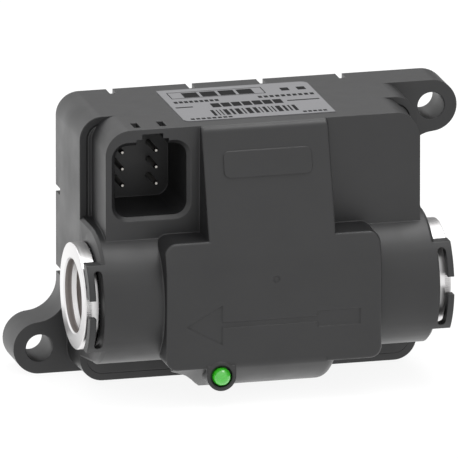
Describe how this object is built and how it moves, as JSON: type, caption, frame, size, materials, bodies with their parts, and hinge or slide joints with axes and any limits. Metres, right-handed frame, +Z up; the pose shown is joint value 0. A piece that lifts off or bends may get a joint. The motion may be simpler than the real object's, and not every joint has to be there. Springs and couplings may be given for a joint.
{
  "type": "electromagnetic flow meter",
  "caption": "Inline electromagnetic flow meter in a dark plastic housing, with a steel port at each end, a plug socket, a status light and fixing lugs.",
  "frame": {"origin": "on the flow axis, half way between the two port faces", "axes": "+X along the flow axis to the right as seen from the front, -Y out of the front, +Z up"},
  "size_m": [0.148, 0.0693, 0.0899],
  "materials": {
    "housing_plastic": "moulded, fine grain",
    "cover_plastic": "moulded, fine grain",
    "gasket_rubber": "smooth",
    "port_steel": "turned",
    "seal_rubber": "smooth",
    "liner_plastic": "moulded, smooth",
    "electrode_steel": "turned",
    "coil_copper": "enamelled wire",
    "bobbin_plastic": "moulded, smooth",
    "core_iron": "zinc plated",
    "board_laminate": "coated laminate",
    "screw_steel": "zinc plated",
    "pin_metal": "tin plated",
    "lens_green": "clear tinted",
    "lamp_epoxy": "cast, clear",
    "label_foil": "satin foil"
  },
  "bodies": {
    "root": {"front_housing": "housing_plastic", "rear_housing": "housing_plastic", "rear_cover": "cover_plastic", "housing_gasket": "gasket_rubber", "port_left": "port_steel", "port_right": "port_steel", "port_seal_left": "seal_rubber", "port_seal_right": "seal_rubber", "flow_tube": "liner_plastic", "electrode_rear": "electrode_steel", "electrode_front": "electrode_steel", "electrode_seal_rear": "seal_rubber", "electrode_seal_front": "seal_rubber", "electrode_nut_rear": "screw_steel", "electrode_nut_front": "screw_steel", "pole_upper": "core_iron", "pole_lower": "core_iron", "bobbin_upper": "bobbin_plastic", "bobbin_lower": "bobbin_plastic", "coil_upper": "coil_copper", "coil_lower": "coil_copper", "yoke": "core_iron", "circuit_board": "board_laminate", "board_screws": "screw_steel", "plug_pins": "pin_metal", "lamp_lens": "lens_green", "lamp_body": "lamp_epoxy", "label_plate": "label_foil"}
  },
  "joints": []
}
